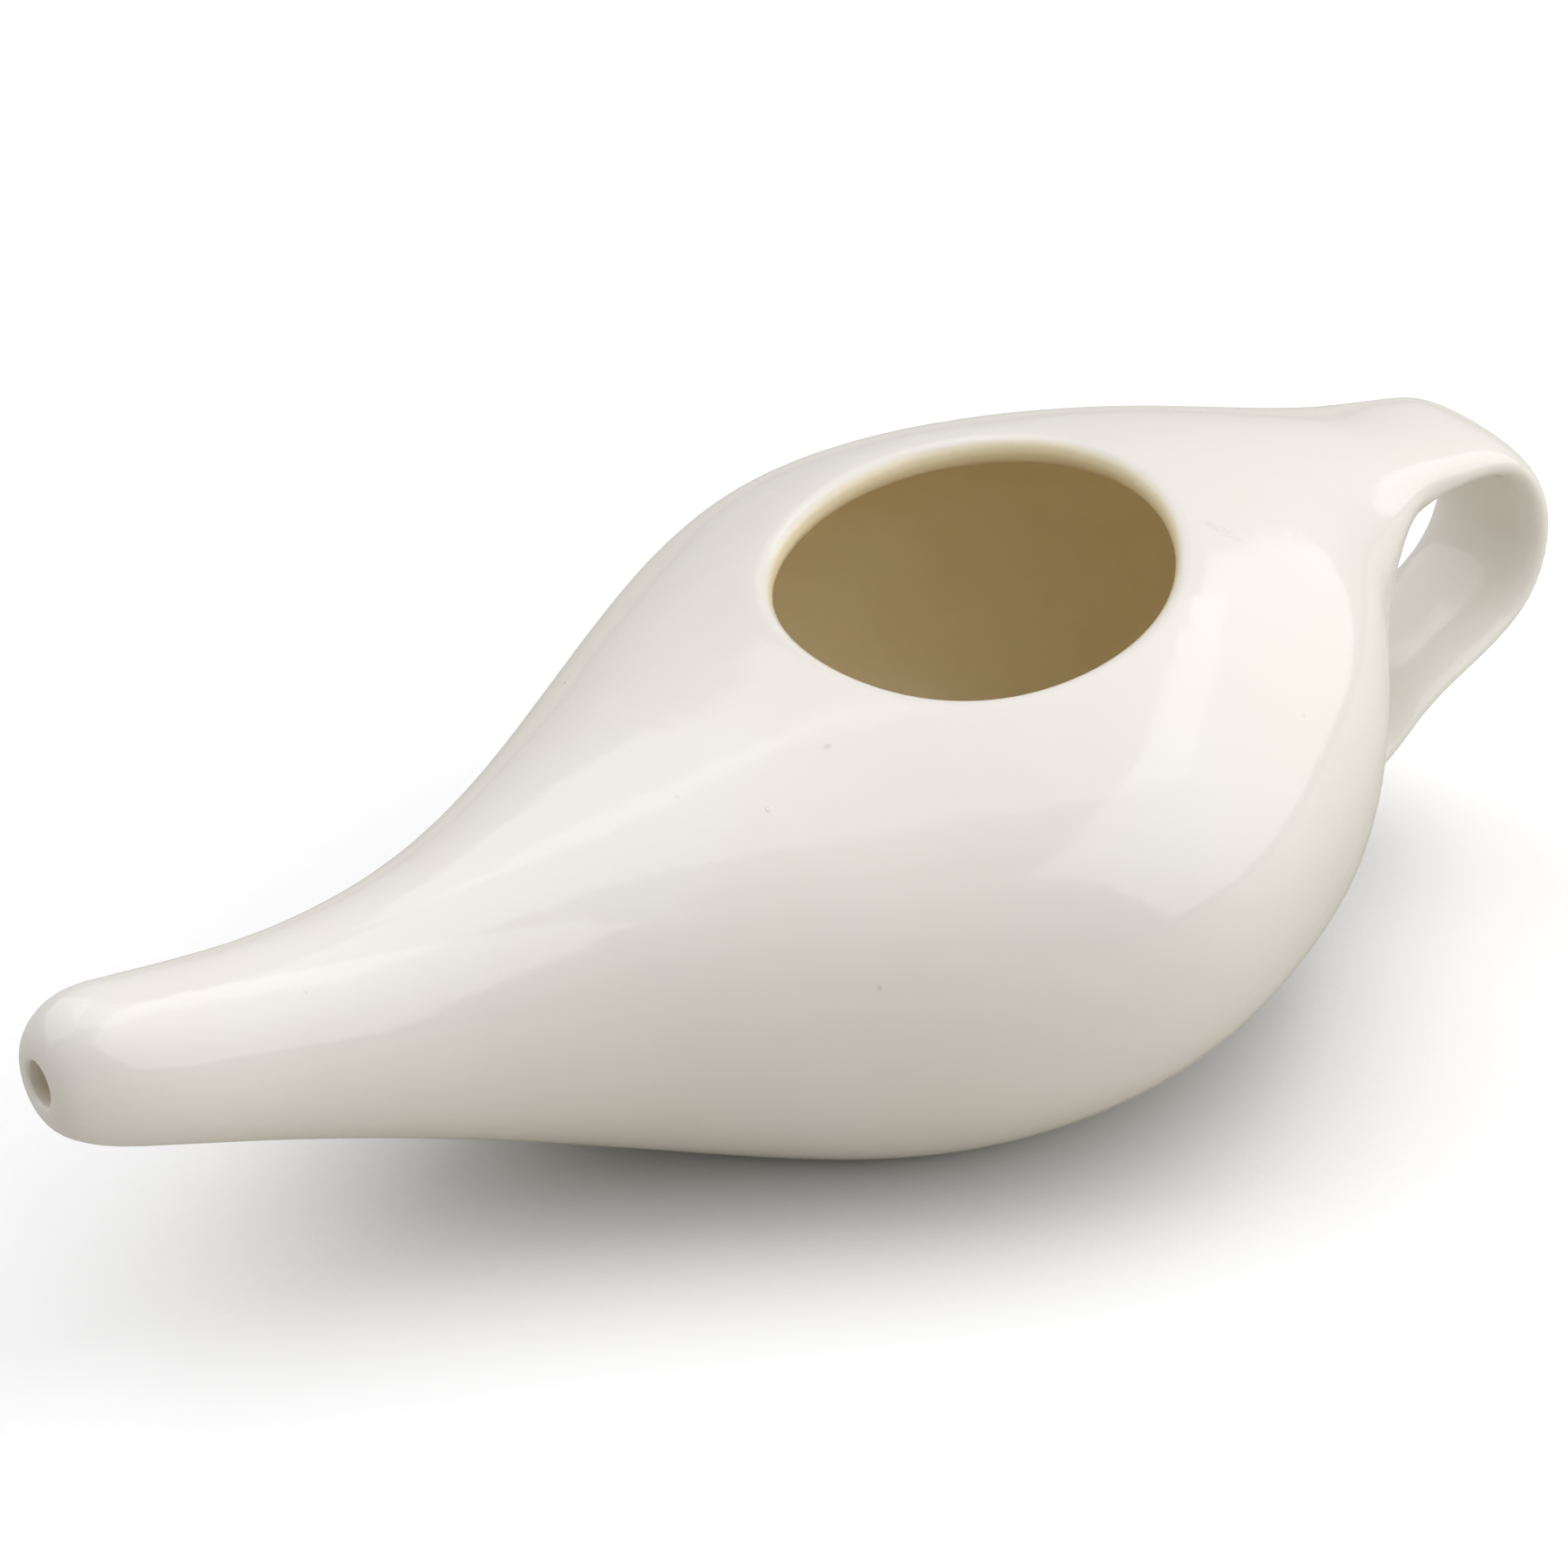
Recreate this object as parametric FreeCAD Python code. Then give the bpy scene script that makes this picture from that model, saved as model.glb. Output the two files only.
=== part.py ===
import FreeCAD, Part
import os
from math import cos, hypot, pi, sin

V = FreeCAD.Vector

# Sizes in millimetres. The pot stands on z = 0, its spout points to -X and its handle to +X.
# Everything is laid out from the middle of the foot, and the finished pot is then moved along
# so that the origin lies under the middle of its whole length.

# Overall
SPOUT_REACH = 105.0       # middle of the foot to the tip of the spout
BULB_BACK = 62.6          # middle of the foot to the back of the bulb
BULB_WIDTH = 95.0         # across the widest section
BULB_HEIGHT = 60.0        # highest point, behind the mouth

# Wall and base
WALL = 3.6                # thickness of the cast wall
FLOOR = 4.6               # thickness under the flat inner floor
FLOOR_FILLET = 6.0        # rounding between the inner floor and the wall
FOOT_EDGE = 5.0           # rounding round the flat foot
FOOT_RING = 6.0           # width of the ring that the pot stands on
FOOT_RECESS = 0.8         # depth of the hollow inside that ring
HOLLOW_STOP = 3.0         # closed end of the hollow before the bulb's back, without the wall
HOLLOW_END_HEIGHT = 46.0  # height of that closed end

# Mouth
MOUTH_X = 9.5             # middle of the mouth from the middle of the foot
MOUTH_LENGTH = 41.4       # along the pot
MOUTH_WIDTH = 45.8        # across the pot
LIP_RADIUS = 1.6          # rounding of the lip, outside and inside

# Outlet
OUTLET_HEIGHT = 32.9      # middle of the outlet above the table
OUTLET_BORE = 4.8         # hole through the tip
OUTLET_EDGE = 0.5         # rounding of the hole's rim
TIP_FLAT = 6.0            # flat face round the hole

# Handle
STRAP_WIDTH = 17.8        # across the strap
STRAP_THICKNESS = 4.4
HANDLE_REACH = 24.1       # back of the bulb to the outermost point of the strap
DECK_DROP = 10.2          # top of the bulb down to the middle line of the strap
ROOT_HEIGHT = 14.6        # middle line of the strap where it comes back into the bulb
ROOT_FILLET = 4.0         # rounding round the strap's lower end
SEAM_BACK = 5.0           # that seam lies no further than this behind the bulb's back
SEAM_RISE = 12.0          # and no higher than this above the strap's middle line

# Sections of the spout: distance from the tip, half width, and how far the bottom, the widest
# line and the top lie above the outlet's middle
SPOUT = [
    (3.2, 6.5, -7.3, -0.1, 7.4),
    (10.0, 8.2, -10.0, -2.0, 7.8),
    (26.0, 9.8, -15.6, -5.5, 5.9),
    (46.0, 14.5, -23.1, -8.0, 7.0),
]

# Sections of the bulb: x, narrower than the widest by, height of the bottom and the widest line
# over the foot, and the drop of the top below the highest point
BELLY = [
    (-37.0, 21.8, 1.4, 25.9, 15.1),
    (-14.0, 6.6, -4.2, 27.8, 9.3),
    (8.0, 0.0, -3.5, 33.6, 3.2),
]

# Sections behind the mouth, where the bulb narrows: bottom and top as distance before the
# bulb's back and height or drop, half width beyond the strap's, share of the height at which
# the section is widest, and how full it is below that line
DECK = [
    (32.6, -0.3, 32.6, 0.0, 31.0, 0.59, 2.2),
    (18.7, 4.1, 19.0, 0.6, 20.7, 0.59, 2.2),
    (11.5, 12.5, 9.7, 2.2, 10.3, 0.67, 2.15),
]

# The same for the neck, where the bulb's closed back runs out and the strap begins
NECK = [
    (9.6, 23.5, 1.7, 4.3, 4.6, 0.76, 2.1),
    (5.1, 40.5, -5.4, 6.2, 1.6, 0.76, 2.2),
    (-5.5, 46.6, -11.3, 7.4, 0.7, 0.61, 2.4),
]

# Middle line of the strap round the finger loop, and then down into the bulb, as shares of its
# reach and of its height
LOOP = [
    (0.784, 0.945),
    (0.95, 0.807),
    (1.003, 0.639),
    (0.912, 0.455),
]
LOOP_END = [
    (0.614, 0.304),
    (0.254, 0.172),
    (-0.061, 0.01),
    (-0.373, -0.023),
    (-0.64, 0.0),
]

BODY_ROUND = 2.2          # squareness of the body's sections: 2 is an ellipse
STRAP_ROUND = 2.5         # and of the strap's
RING = 12                 # control points round each section
SWELL = 1.2               # how roundly the skin turns over its closed ends
CUT_REACH = 300.0         # how far the level cuts reach past the pot's middle
CUT_DEPTH = 50.0          # and below the table


def bend(value, power):
    """Turns a circle's sine or cosine into that of a squarer or slimmer oval."""
    size = abs(value) ** (2.0 / power)
    return size if value >= 0 else -size


def oval(bottom, top, half_width, share, full_above, full_below):
    """Control points of a closed section that touches bottom, top and both sides."""
    middle = bottom + (top - bottom) * share
    points = []
    for step in range(RING):
        angle = 2 * pi * step / RING
        above = step <= RING // 2
        power = full_above if above else full_below
        arm = top - middle if above else middle - bottom
        grow = 6.0 / (4.0 + 2.0 * bend(cos(2 * pi / RING), power))
        out = V(0, half_width * bend(cos(angle), power), 0)
        points.append(middle + (out + arm * bend(sin(angle), power)) * grow)
    return points


def upright(x, half_width, low, wide, high):
    return oval(V(x, 0, low), V(x, 0, high), half_width, (wide - low) / (high - low),
                BODY_ROUND, BODY_ROUND)


def spout_ovals():
    """Sections from the flat face round the outlet back to the spout's root."""
    up = V(0, 0, TIP_FLAT / 2)
    tip = V(-SPOUT_REACH, 0, OUTLET_HEIGHT)
    ovals = [oval(tip - up, tip + up, TIP_FLAT / 2, 0.5, 2.0, 2.0)]
    for back, half, low, wide, high in SPOUT:
        ovals.append(upright(back - SPOUT_REACH, half, OUTLET_HEIGHT + low,
                             OUTLET_HEIGHT + wide, OUTLET_HEIGHT + high))
    return ovals


def belly_ovals():
    return [upright(x, BULB_WIDTH / 2 - less, low, wide, BULB_HEIGHT - drop)
            for x, less, low, wide, drop in BELLY]


def leaning_ovals(sections):
    """Sections that lean back more and more, from the upright bulb to the strap."""
    ovals = []
    for back_low, low, back_high, drop, more, share, fullness in sections:
        bottom = V(BULB_BACK - back_low, 0, low)
        top = V(BULB_BACK - back_high, 0, BULB_HEIGHT - drop)
        ovals.append(oval(bottom, top, STRAP_WIDTH / 2 + more, share, BODY_ROUND, fullness))
    return ovals


def loop_line():
    """Middle line of the strap, from the deck round and back into the bulb."""
    reach = HANDLE_REACH - STRAP_THICKNESS / 2
    height = BULB_HEIGHT - DECK_DROP - ROOT_HEIGHT
    return [V(BULB_BACK + reach * along, 0, ROOT_HEIGHT + height * up)
            for along, up in LOOP + LOOP_END]


def strap_ovals(line):
    """Flat sections square to the strap's middle line."""
    back_low, low, back_high, drop = NECK[-1][:4]
    start = (V(BULB_BACK - back_low, 0, low) + V(BULB_BACK - back_high, 0, BULB_HEIGHT - drop)) * 0.5
    ovals = []
    for before, here, after in zip([start] + line, line, line[1:] + line[-1:]):
        run = (after - before).normalize()
        out = V(-run.z, 0, run.x) * (STRAP_THICKNESS / 2)
        ovals.append(oval(here - out, here + out, STRAP_WIDTH / 2, 0.5, STRAP_ROUND, STRAP_ROUND))
    return ovals


def spokes(ring, length):
    """Ways from the middle of a section out to its control points."""
    middle = sum(ring, V()) * (1.0 / len(ring))
    return [(point - middle).normalize() * length for point in ring]


def skin(ovals, start, end):
    """Smooth surface through the sections, closed round, that leaves its ends along start, end."""
    spots = [0.0]
    for near, far in zip(ovals, ovals[1:]):
        spots.append(spots[-1] + sum((b - a).Length for a, b in zip(near, far)) / RING)
    lines = []
    for j in range(RING):
        line = Part.BSplineCurve()
        line.interpolate(Points=[ring[j] for ring in ovals], Parameters=spots,
                         InitialTangent=start[j], FinalTangent=end[j], Scale=False)
        lines.append(line)
    poles = [[line.getPole(i + 1) for line in lines] for i in range(lines[0].NbPoles)]
    face = Part.BSplineSurface()
    face.buildFromPolesMultsKnots(poles, lines[0].getMultiplicities(), [1] * (RING + 1), spots,
                                  list(range(RING + 1)), False, True, 3, 3)
    return face


def filled(face):
    """Solid inside a skin, with flat ends where it is open."""
    side = face.toShape()
    rims = [edge for edge in side.Edges if edge.isClosed() and not edge.Degenerated]
    body = Part.Solid(Part.Shell([side] + [Part.Face(Part.Wire(rim)) for rim in rims]))
    body.fix(1e-4, 1e-4, 1e-3)
    return body


def outer_body():
    """Spout, bulb, deck and strap as one skin; the strap's last stretch is filled by itself."""
    ovals = spout_ovals() + belly_ovals() + leaning_ovals(DECK + NECK) + strap_ovals(loop_line())
    run = [(b - a).normalize() for a, b in zip(ovals[-2], ovals[-1])]
    face = skin(ovals, spokes(ovals[0], SWELL), run)
    first, last, left, right = face.bounds()
    parting = face.getUKnots()[-len(LOOP_END)]
    front, rear = face.copy(), face.copy()
    front.segment(first, parting, left, right)
    rear.segment(parting, last, left, right)
    return filled(front).fuse(filled(rear))


def moved_in(face, depth):
    """The same skin one wall further in: each control point moved square to the surface."""
    inner = face.copy()
    rows = face.NbUPoles
    for j in range(1, face.NbVPoles + 1):
        for i in range(2, rows):
            pole = face.getPole(i, j)
            inner.setPole(i, j, pole + face.normal(*face.parameter(pole)) * depth)
        inner.setPole(1, j, face.getPole(1, j) + V(depth, 0, 0))
        inner.setPole(rows, j, face.getPole(rows, j) - V(depth, 0, 0))
    return inner


def slab(bottom, top):
    """Wide flat block between two heights."""
    return Part.makeBox(2 * CUT_REACH, 2 * CUT_REACH, top - bottom, V(-CUT_REACH, -CUT_REACH, bottom))


def level_edges(shape, height):
    return [edge for edge in shape.Edges
            if edge.BoundBox.ZLength < 1e-3 and abs(edge.BoundBox.ZMin - height) < 1e-3]


def hollow():
    """Room for the water: the bulb and spout moved in by the wall, over a flat floor."""
    back = [V(BULB_BACK - HOLLOW_STOP, 0, HOLLOW_END_HEIGHT)] * RING
    ovals = spout_ovals() + belly_ovals() + leaning_ovals(DECK) + [back]
    face = skin(ovals, spokes(ovals[0], SWELL), spokes(ovals[-2], -SWELL))
    room = filled(moved_in(face, WALL)).cut(slab(-CUT_DEPTH, FLOOR))
    return room.makeFillet(FLOOR_FILLET, level_edges(room, FLOOR))


def points_on(edge):
    first, last = edge.ParameterRange
    return [edge.valueAt(first + (last - first) * step / 6) for step in range(7)]


def oval_plug(x, length, width, bottom, top):
    """Upright oval plug to cut with."""
    size = FreeCAD.Matrix()
    size.scale(length / 2, width / 2, 1)
    plug = Part.makeCylinder(1, top - bottom).transformGeometry(size)
    plug.translate(V(x, 0, bottom))
    return plug


def on_foot(body):
    """Cuts the foot flat, rounds its edge and sinks the middle of it."""
    body = body.cut(slab(-CUT_DEPTH, 0))
    body = body.makeFillet(FOOT_EDGE, level_edges(body, 0))
    sole = max((face for face in body.Faces if face.BoundBox.ZMax < 1e-3), key=lambda f: f.Area)
    box = sole.BoundBox
    recess = oval_plug(box.Center.x, box.XLength - 2 * FOOT_RING, box.YLength - 2 * FOOT_RING,
                       -1, FOOT_RECESS)
    return body.cut(recess)


def with_root(body):
    """Rounds the seam where the strap's lower end meets the bulb."""
    seam = [edge for edge in body.Edges
            if edge.BoundBox.XMin > 0 and edge.BoundBox.XMax < BULB_BACK + SEAM_BACK
            and edge.BoundBox.ZMax < ROOT_HEIGHT + SEAM_RISE
            and edge.BoundBox.YLength > STRAP_WIDTH / 2]
    return body.makeFillet(ROOT_FILLET, seam)


def with_mouth(body):
    """Cuts the oval mouth straight down into the hollow and rounds its lip."""
    body = body.cut(oval_plug(MOUTH_X, MOUTH_LENGTH, MOUTH_WIDTH, BULB_HEIGHT / 2, BULB_HEIGHT * 2))
    lip = []
    for edge in body.Edges:
        off = [hypot((p.x - MOUTH_X) * 2 / MOUTH_LENGTH, p.y * 2 / MOUTH_WIDTH) - 1
               for p in points_on(edge)]
        if max(abs(way) for way in off) < 1e-3 and edge.BoundBox.XLength > 1:
            lip.append(edge)
    return body.makeFillet(LIP_RADIUS, lip)


def with_outlet(body):
    """Drills the outlet through the tip and eases its rim."""
    start = V(-SPOUT_REACH - 1, 0, OUTLET_HEIGHT)
    body = body.cut(Part.makeCylinder(OUTLET_BORE / 2, WALL * 3, start, V(1, 0, 0)))
    rim = [edge for edge in body.Edges
           if edge.BoundBox.XMax < -SPOUT_REACH + 1e-3 and edge.BoundBox.YLength < OUTLET_BORE + 0.1]
    return body.makeFillet(OUTLET_EDGE, rim)


def neti_pot():
    body = with_root(on_foot(outer_body()))
    return with_outlet(with_mouth(body.cut(hollow())))


def centred(shape):
    return shape.translated(V(-shape.optimalBoundingBox(False).Center.x, 0, 0))


os.makedirs("parts", exist_ok=True)
pot = centred(neti_pot())
print("pot", pot.isValid(), len(pot.Solids), "solid", round(pot.Volume), "mm3")
print("from x", round(pot.BoundBox.XMin, 3), "to", round(pot.BoundBox.XMax, 3))
pot.Solids[0].exportStep("parts/pot.step")
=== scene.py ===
import bmesh
import bpy
import heapq
import math
from mathutils import Matrix, Vector


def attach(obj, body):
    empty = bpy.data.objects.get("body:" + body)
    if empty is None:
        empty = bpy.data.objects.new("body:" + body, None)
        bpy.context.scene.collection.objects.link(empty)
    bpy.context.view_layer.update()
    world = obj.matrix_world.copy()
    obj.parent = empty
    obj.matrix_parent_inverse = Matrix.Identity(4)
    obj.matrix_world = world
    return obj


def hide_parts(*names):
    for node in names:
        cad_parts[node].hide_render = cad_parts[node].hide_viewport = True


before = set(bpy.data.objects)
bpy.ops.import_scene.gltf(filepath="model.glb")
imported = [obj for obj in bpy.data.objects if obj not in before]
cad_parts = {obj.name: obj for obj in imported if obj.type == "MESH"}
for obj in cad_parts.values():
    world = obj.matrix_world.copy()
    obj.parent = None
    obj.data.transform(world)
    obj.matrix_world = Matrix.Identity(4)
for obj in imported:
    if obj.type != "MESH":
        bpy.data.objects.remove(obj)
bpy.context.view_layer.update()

# The camera of the photograph: a long lens, 35 degrees round from the pot's side and 32 degrees
# above the table, with the spout's tip towards the left edge of the picture.
CAMERA_PLACE = (-0.284852, -0.400029, 0.340008)
CAMERA_TURN = -34.877      # degrees, here and below
CAMERA_DOWN = 31.967
CAMERA_ROLL = -0.07
LENS = 123.92              # millimetres, on a film 36 millimetres wide
FILM_WIDE = 36

camera = bpy.data.objects.new("camera", bpy.data.cameras.new("camera"))
camera.data.lens = LENS
camera.data.sensor_width = FILM_WIDE
camera.matrix_world = (Matrix.Translation(CAMERA_PLACE)
                       @ Matrix.Rotation(math.radians(CAMERA_TURN), 4, "Z")
                       @ Matrix.Rotation(math.radians(90 - CAMERA_DOWN), 4, "X")
                       @ Matrix.Rotation(math.radians(CAMERA_ROLL), 4, "Z"))
bpy.context.collection.objects.link(camera)
bpy.context.scene.camera = camera
bpy.context.scene.view_settings.view_transform = "Standard"

# The pot: one slip-cast piece of stoneware, with its spout, bulb and strap handle in one skin and
# an inner skin for the water. The imported solid's loose triangles are joined into one shell, and
# each of its points is told whether it lies inside, where the skin is coloured tan.
WELD = 1e-6
SHARP_EDGE = 40            # degrees
MOUTH_MIDDLE = Vector((0.0186, 0.0))
MOUTH_HALF = Vector((0.0207, 0.0229))
MOUTH_LEVEL = 0.035        # the mouth and its lip lie wholly above this
LIP_WIDE = 0.1             # share of the mouth's size that the rounded lip takes up
OUTLET_MIDDLE = Vector((0.0, 0.0329))
OUTLET_LIP = 0.0032
OUTLET_END = -0.0920       # beyond this there is only the outlet's own short bore
INNER_FLOOR_EDGE = Vector((-0.0255, 0.0, 0.0046))
MOUTH_TAN = (0.0042, 0.0050)   # how far up the skin the tan colour is full, and where it ends
OUTLET_TAN = (0.0026, 0.0044)


def cast_shell(node):
    """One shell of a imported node, smooth but for its sharp edges."""
    shell = bmesh.new()
    shell.from_mesh(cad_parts[node].data)
    bmesh.ops.remove_doubles(shell, verts=shell.verts, dist=WELD)
    for face in shell.faces:
        face.smooth = True
    for edge in shell.edges:
        if len(edge.link_faces) == 2 and edge.calc_face_angle(0) > math.radians(SHARP_EDGE):
            edge.smooth = False
    return shell


def on_a_lip(point):
    """Whether a point lies on the mouth's rounded lip or in the outlet."""
    off = Vector((point.x, point.y)) - MOUTH_MIDDLE
    round_mouth = math.hypot(off.x / MOUTH_HALF.x, off.y / MOUTH_HALF.y)
    if point.z > MOUTH_LEVEL and abs(round_mouth - 1) < LIP_WIDE:
        return True
    from_outlet = (Vector((point.y, point.z)) - OUTLET_MIDDLE).length
    return point.x < OUTLET_END and from_outlet < OUTLET_LIP


def inner_skin(shell):
    """Numbers of the vertices that the inner floor's edge leads to without crossing a lip."""
    start = min(shell.verts, key=lambda v: (v.co - INNER_FLOOR_EDGE).length)
    found, waiting = {start.index}, [start]
    while waiting:
        here = waiting.pop()
        for edge in here.link_edges:
            other = edge.other_vert(here)
            if other.index not in found and not on_a_lip(other.co):
                found.add(other.index)
                waiting.append(other)
    return found


def way_up_the_lips(shell, inside):
    """How far each vertex of a lip lies from the inner skin, measured along the skin."""
    shell.verts.ensure_lookup_table()
    furthest = MOUTH_TAN[1]
    away = {}
    waiting = [(0.0, number) for number in inside]
    while waiting:
        so_far, number = heapq.heappop(waiting)
        if so_far > away.get(number, furthest):
            continue
        here = shell.verts[number]
        for edge in here.link_edges:
            other = edge.other_vert(here)
            reached = so_far + edge.calc_length()
            if (other.index not in inside and on_a_lip(other.co)
                    and reached < away.get(other.index, furthest)):
                away[other.index] = reached
                heapq.heappush(waiting, (reached, other.index))
    return away


shell = cast_shell("pot")
shell.verts.index_update()
tan = shell.verts.layers.float.new("inside")
inside = inner_skin(shell)
away = way_up_the_lips(shell, inside)
for vertex in shell.verts:
    if vertex.index in inside:
        vertex[tan] = 1.0
    elif vertex.index in away:
        full, end = OUTLET_TAN if vertex.co.x < OUTLET_END else MOUTH_TAN
        vertex[tan] = max(0.0, min(1.0, (end - away[vertex.index]) / (end - full)))
pot_mesh = bpy.data.meshes.new("glazed_pot")
shell.to_mesh(pot_mesh)
shell.free()
pot = bpy.data.objects.new("glazed_pot", pot_mesh)
bpy.context.collection.objects.link(pot)
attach(pot, "root")
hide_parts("pot")


# The glaze: a glossy cream glaze, poured over the outside in one coat; the inside is coloured
# tan.
# It lies in slow waves, has a few pinholes and iron specks, and is wiped off the ring of the
# foot.
class Amount:
    """One output in a finish; Python's own signs add its Math nodes."""

    def __init__(self, finish, socket):
        self.finish, self.socket = finish, socket

    def worked(self, operation, first, second):
        return self.finish.node("Math", {"operation": operation}, {0: first, 1: second})

    def __add__(self, other):
        return self.worked("ADD", self, other)

    def __sub__(self, other):
        return self.worked("SUBTRACT", self, other)

    def __rsub__(self, other):
        return self.worked("SUBTRACT", other, self)

    def __mul__(self, other):
        return self.worked("MULTIPLY", self, other)

    def __lt__(self, other):
        return self.worked("LESS_THAN", self, other)

    def __gt__(self, other):
        return self.worked("GREATER_THAN", self, other)

    __radd__, __rmul__ = __add__, __mul__


class Finish:
    """Material with one shader, built up node by node."""

    def __init__(self, name):
        self.material = bpy.data.materials.new(name)
        self.material.use_nodes = True
        self.tree = self.material.node_tree
        self.shader = self.tree.nodes["Principled BSDF"]
        self.place = self.node("TexCoord", {}, {}, "Object")

    def feed(self, socket, value):
        if isinstance(value, Amount):
            self.tree.links.new(value.socket, socket)
        else:
            socket.default_value = value

    def node(self, kind, settings, sockets, output=0):
        made = self.tree.nodes.new("ShaderNode" + kind)
        for name, value in settings.items():
            setattr(made, name, value)
        for name, value in sockets.items():
            self.feed(made.inputs[name], value)
        return Amount(self, made.outputs[output])

    def noise(self, scale, detail):
        return self.node("TexNoise", {}, {"Vector": self.place, "Scale": scale, "Detail": detail})

    def blend(self, share, first, second):
        return self.node("Mix", {"data_type": "RGBA"}, {0: share, 6: first, 7: second}, 2)

    def ramp(self, value, low, high, at_low=0.0, at_high=1.0):
        return self.node("MapRange", {"interpolation_type": "SMOOTHSTEP"},
                         {"Value": value, "From Min": low, "From Max": high,
                          "To Min": at_low, "To Max": at_high})

    def spots(self, scale, radius, share, soft):
        """Round spots: one in some of the cells of a grid of random points."""
        away = self.node("TexVoronoi", {}, {"Vector": self.place, "Scale": scale}, "Distance")
        cell = self.node("TexVoronoi", {}, {"Vector": self.place, "Scale": scale}, "Color")
        chosen = self.node("SeparateColor", {}, {"Color": cell}, "Red") < share
        return self.ramp(away, radius * (1 + soft), radius) * chosen

    def away_from(self, middle, half_sizes, turn=0.0):
        """Distance from a place, counted in the half sizes of an oval round it."""
        placed = self.node("Mapping", {"vector_type": "TEXTURE"},
                           {"Vector": self.place, "Location": middle,
                            "Rotation": (0, 0, math.radians(turn)), "Scale": half_sizes})
        return self.node("VectorMath", {"operation": "LENGTH"}, {0: placed}, "Value")

    def mark(self, middle, half_sizes, turn=0.0):
        """Soft oval mark at one place on the glaze."""
        return self.ramp(self.away_from(middle, half_sizes, turn), 1.0, 0.4)


CREAM = (0.85, 0.82, 0.77, 1)
CREAM_THIN = (0.83, 0.785, 0.715, 1)
CREAM_THICK = (0.87, 0.845, 0.805, 1)
TAN = (0.96, 0.845, 0.58, 1)
TAN_DARK = (0.94, 0.81, 0.53, 1)
BISCUIT = (0.66, 0.58, 0.47, 1)
BISCUIT_TOASTED = (0.52, 0.40, 0.27, 1)
IRON = (0.30, 0.21, 0.13, 1)
SCUFF = (0.60, 0.58, 0.55, 1)

DARK_SPECKS = (((-0.0097, -0.0131, 0.0483), (0.0006, 0.0005, 0.0006)),
               ((-0.0168, -0.0324, 0.0316), (0.0004, 0.0004, 0.0004)))
PIMPLE = ((-0.0186, -0.0153, 0.0451), (0.0005, 0.0005, 0.0005))
SCUFF_PLACE = ((0.0406, -0.0151, 0.0587), (0.0031, 0.0007, 0.0020), -69)
MOUTH_FADE = (1.052, 1.004)    # where the tan starts and is full, in half sizes of the mouth
ANY_HEIGHT = 1000
GLAZE_ENDS = (0.0009, 0.0006)  # height over the table where the wiped foot ring begins
TOASTED_ENDS = (0.0014, 0.0009)
FOOT_WANDER = 0.0005
GLOSS_ROUGHNESS = 0.075
BARE_ROUGHNESS = 0.78
RELIEF_DEPTH = 0.0009
GLAZE_IOR = 1.55

glaze = Finish("cream_glaze")
shader = glaze.shader
inside_share = glaze.node("Attribute", {"attribute_name": "inside"}, {}, "Fac")
height = glaze.node("SeparateXYZ", {}, {0: glaze.place}, "Z")

clouds = glaze.noise(28, 3)
coat = glaze.blend(glaze.ramp(clouds, 0.32, 0.68), CREAM_THIN, CREAM_THICK)
outer = glaze.blend(0.55, coat, CREAM)
inner = glaze.blend(glaze.ramp(glaze.noise(90, 4), 0.35, 0.7), TAN, TAN_DARK)
round_mouth = glaze.away_from(MOUTH_MIDDLE.to_3d(), (*MOUTH_HALF, ANY_HEIGHT))
uneven_edge = glaze.noise(120, 2) * 0.02
in_the_mouth = glaze.ramp(round_mouth + uneven_edge, *MOUTH_FADE) * (height > MOUTH_LEVEL)
turned_in = glaze.node("Math", {"operation": "MAXIMUM"},
                       {0: glaze.ramp(inside_share, 0.05, 0.95), 1: in_the_mouth})
colour = glaze.blend(turned_in, outer, inner)

iron_specks = glaze.spots(210, 0.04, 0.012, 0.9)
colour = glaze.blend(iron_specks * 0.4, colour, IRON)
first_speck, second_speck = (glaze.mark(*speck) for speck in DARK_SPECKS)
colour = glaze.blend((first_speck + second_speck) * 0.2, colour, IRON)
scuff_broken = glaze.mark(*SCUFF_PLACE) * glaze.ramp(glaze.noise(700, 2), 0.38, 0.6)
colour = glaze.blend(scuff_broken * 0.5, colour, SCUFF)

foot_line = height + glaze.noise(160, 2) * FOOT_WANDER
bare = glaze.ramp(foot_line, *GLAZE_ENDS)
toasted = glaze.ramp(foot_line, *TOASTED_ENDS)
grog = glaze.noise(1400, 3)
biscuit = glaze.blend(glaze.ramp(grog, 0.35, 0.65), BISCUIT_TOASTED, BISCUIT)
colour = glaze.blend(toasted * 0.35, colour, BISCUIT_TOASTED)
colour = glaze.blend(bare, colour, biscuit)
glaze.feed(shader.inputs["Base Color"], colour)

pinholes = glaze.spots(320, 0.05, 0.025, 0.6)
gloss = (GLOSS_ROUGHNESS + glaze.noise(45, 3) * 0.05 + turned_in * 0.22
         + scuff_broken * 0.25 + pinholes * 0.2)
glaze.feed(shader.inputs["Roughness"], glaze.ramp(bare, 0, 1, gloss, BARE_ROUGHNESS))

waves = glaze.noise(34, 1) * 0.9 + glaze.noise(110, 2) * 0.10 + glaze.noise(900, 2) * 0.006
relief = waves - pinholes * 0.04 + glaze.mark(*PIMPLE) * 0.1 + bare * grog * 0.12
glaze.feed(shader.inputs["Normal"], glaze.node(
    "Bump", {}, {"Strength": 1.0, "Distance": RELIEF_DEPTH, "Height": relief}))
shader.inputs["IOR"].default_value = GLAZE_IOR
pot_mesh.materials.append(glaze.material)
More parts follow.
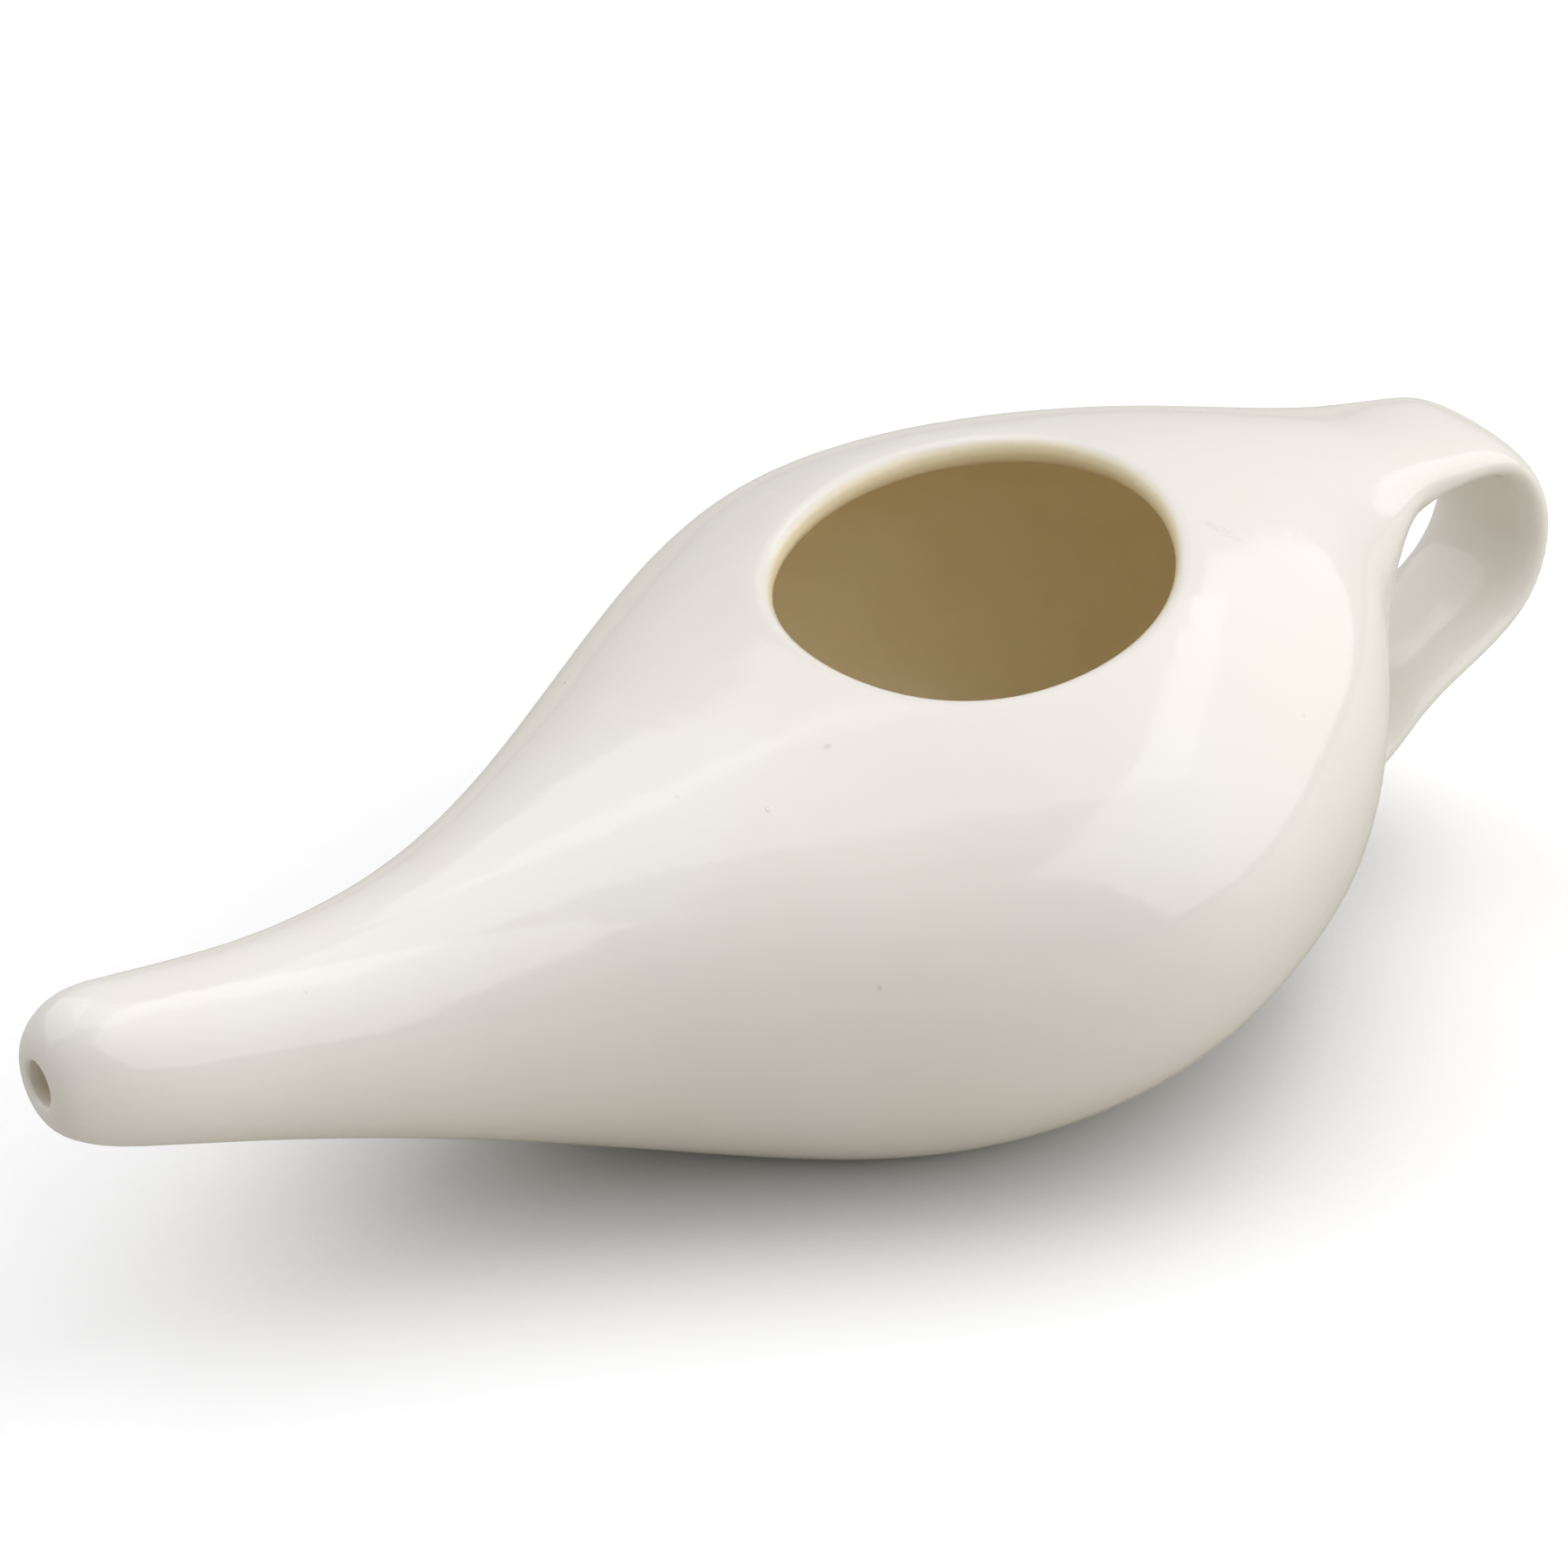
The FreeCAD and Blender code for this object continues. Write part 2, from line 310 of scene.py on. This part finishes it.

# The table: a plain sheet, wide enough to fill every view, with a painted shadow close under the
# pot. The camera sees it white, and the pot gets the warmer light that cream paper throws back.
SHEET_HALF = 3
SHEET_DROP = 0.0001        # keeps the foot's flat ring out of the sheet's own plane
SHADE_REACH = 0.035
SHADE_ENDS = (0.25, 0.85)
PAPER_SHADED = (0.66, 0.66, 0.67, 1)
PAPER = (0.98, 0.98, 0.99, 1)
PAPER_PALE = (0.99, 0.99, 1.0, 1)
PAPER_THROWS_BACK = (0.57, 0.54, 0.485, 1)
NO_GLOW = (0, 0, 0, 1)
FAINT_GLOW = (0.06, 0.06, 0.06, 1)
MATT_ROUGHNESS = 0.9

table_mesh = bpy.data.meshes.new("table")
sheet = bmesh.new()
bmesh.ops.create_grid(sheet, x_segments=1, y_segments=1, size=SHEET_HALF,
                      matrix=Matrix.Translation((0, 0, -SHEET_DROP)))
sheet.to_mesh(table_mesh)
sheet.free()
table = bpy.data.objects.new("table", table_mesh)
bpy.context.collection.objects.link(table)
paper = Finish("white_paper")
grain = paper.ramp(paper.noise(600, 2), 0.3, 0.7)
# Painted shadow: where the pot hides the nearby sky, the sheet's colour as the camera sees it
# turns to the grey PAPER_SHADED.
sky_open_for_painted_shadow = paper.node("AmbientOcclusion", {"samples": 12}, {"Distance": SHADE_REACH}, "AO")
outside_painted_shadow = paper.ramp(sky_open_for_painted_shadow, *SHADE_ENDS)
seen = paper.node("LightPath", {}, {}, "Is Camera Ray")
sheet_seen = paper.blend(outside_painted_shadow, PAPER_SHADED, paper.blend(grain, PAPER, PAPER_PALE))
paper.feed(paper.shader.inputs["Base Color"], paper.blend(seen, PAPER_THROWS_BACK, sheet_seen))
# The faint glow is also left out in the painted shadow, which makes it deeper.
paper.feed(paper.shader.inputs["Emission Color"],
           paper.blend(seen * outside_painted_shadow, NO_GLOW, FAINT_GLOW))
paper.shader.inputs["Emission Strength"].default_value = 1.0
paper.shader.inputs["Roughness"].default_value = MATT_ROUGHNESS
paper.shader.inputs["Specular IOR Level"].default_value = 0.0
table_mesh.materials.append(paper.material)

# The room: soft white light from all round, which the camera sees as a white wall, and three big
# softboxes: on the right, behind on the left, and overhead. The camera's own side stays dim.
WHITE = (1, 1, 1, 1)
LIGHT_ALL_ROUND = 0.38
AIMED_AT = Vector((0, 0, 0.03))    # the middle of the pot

room = bpy.data.worlds.new("room")
bpy.context.scene.world = room
room.use_nodes = True
nodes, links = room.node_tree.nodes, room.node_tree.links
light_all_round = nodes["Background"]
light_all_round.inputs["Color"].default_value = WHITE
light_all_round.inputs["Strength"].default_value = LIGHT_ALL_ROUND
white_wall = nodes.new("ShaderNodeBackground")
white_wall.inputs["Color"].default_value = WHITE
seen_or_lighting = nodes.new("ShaderNodeMixShader")
path = nodes.new("ShaderNodeLightPath")
links.new(path.outputs["Is Camera Ray"], seen_or_lighting.inputs[0])
links.new(light_all_round.outputs[0], seen_or_lighting.inputs[1])
links.new(white_wall.outputs[0], seen_or_lighting.inputs[2])
links.new(seen_or_lighting.outputs[0], nodes["World Output"].inputs[0])


def softbox(name, azimuth, height_angle, distance, wide, high, brightness):
    """Soft lamp that faces the pot; a brightness of 1 looks as bright as a white wall."""
    lamp = bpy.data.lights.new(name, "AREA")
    lamp.shape = "RECTANGLE"
    lamp.size, lamp.size_y = wide, high
    lamp.energy = brightness * math.pi * wide * high
    around, up = math.radians(azimuth), math.radians(height_angle)
    out = Vector((math.cos(around) * math.cos(up), math.sin(around) * math.cos(up), math.sin(up)))
    box = bpy.data.objects.new(name, lamp)
    box.matrix_world = (Matrix.Translation(out * distance + AIMED_AT)
                        @ out.to_track_quat("Z", "Y").to_matrix().to_4x4())
    bpy.context.collection.objects.link(box)


softbox("right_side", azimuth=-46, height_angle=42, distance=0.7,
        wide=1.5, high=1.1, brightness=1.1)
softbox("behind", azimuth=122, height_angle=44, distance=0.9,
        wide=1.2, high=0.85, brightness=0.85)
softbox("overhead", azimuth=60, height_angle=80, distance=0.9,
        wide=0.9, high=0.7, brightness=0.78)
